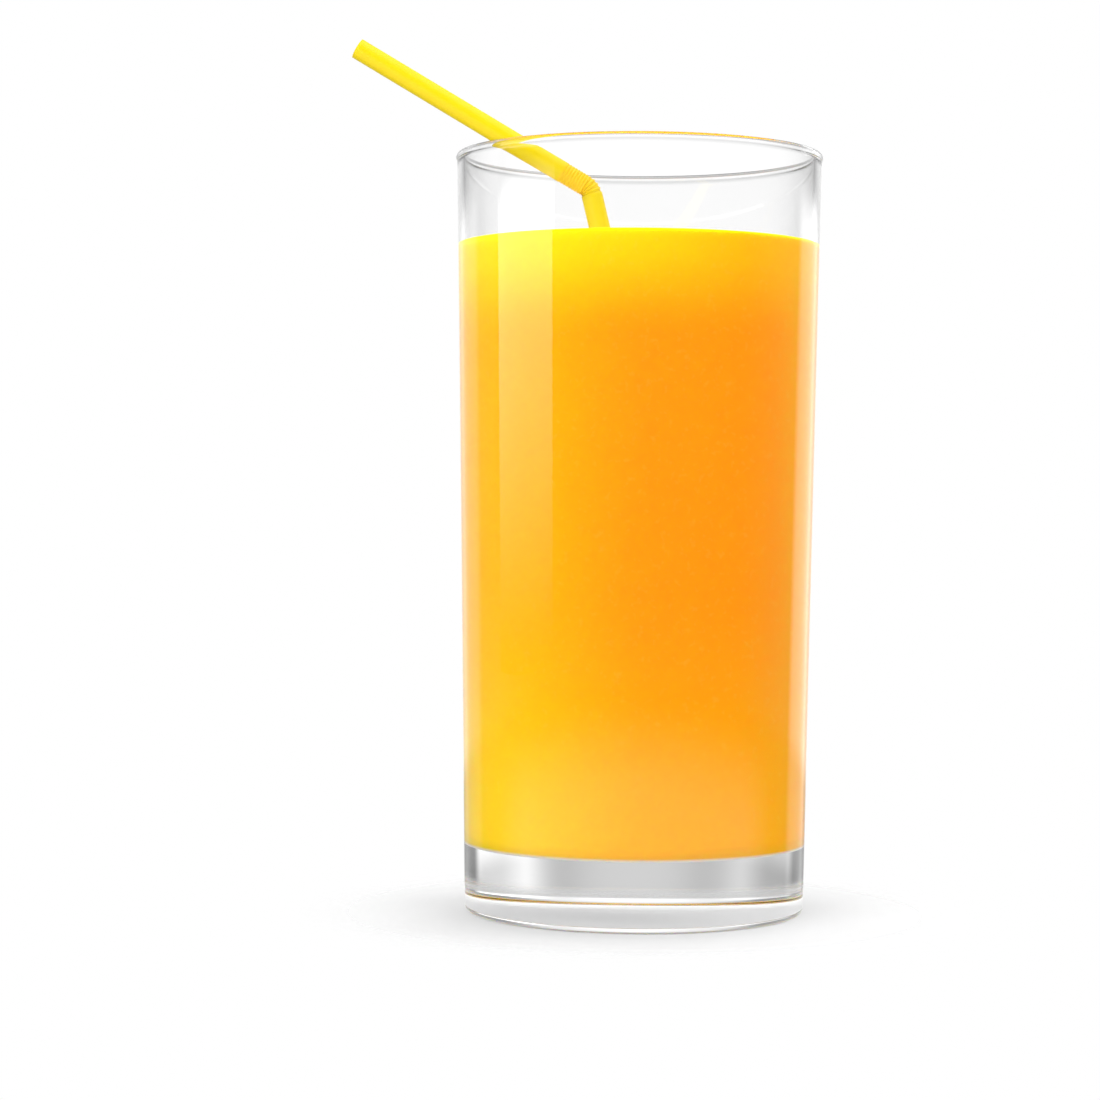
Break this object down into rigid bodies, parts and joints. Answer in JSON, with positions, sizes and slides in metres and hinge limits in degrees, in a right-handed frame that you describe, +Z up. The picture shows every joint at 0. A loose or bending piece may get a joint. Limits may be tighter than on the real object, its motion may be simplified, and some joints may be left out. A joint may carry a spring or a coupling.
{
  "type": "glass of orange juice",
  "caption": "Tall clear tumbler filled with orange juice to just below the rim, with a slim yellow bendy straw leaning out over the rim.",
  "frame": {"origin": "centre of the base, on the plane that the glass stands on", "axes": "+Z up along the glass's axis; the front is -Y and the straw's free end points towards -X"},
  "size_m": [0.0887, 0.0704, 0.1644],
  "materials": {
    "glass": "clear polished",
    "juice": "cloudy orange liquid",
    "straw": "glossy yellow"
  },
  "bodies": {
    "root": {"glass": "glass", "juice": "juice", "straw": "straw"}
  },
  "joints": []
}
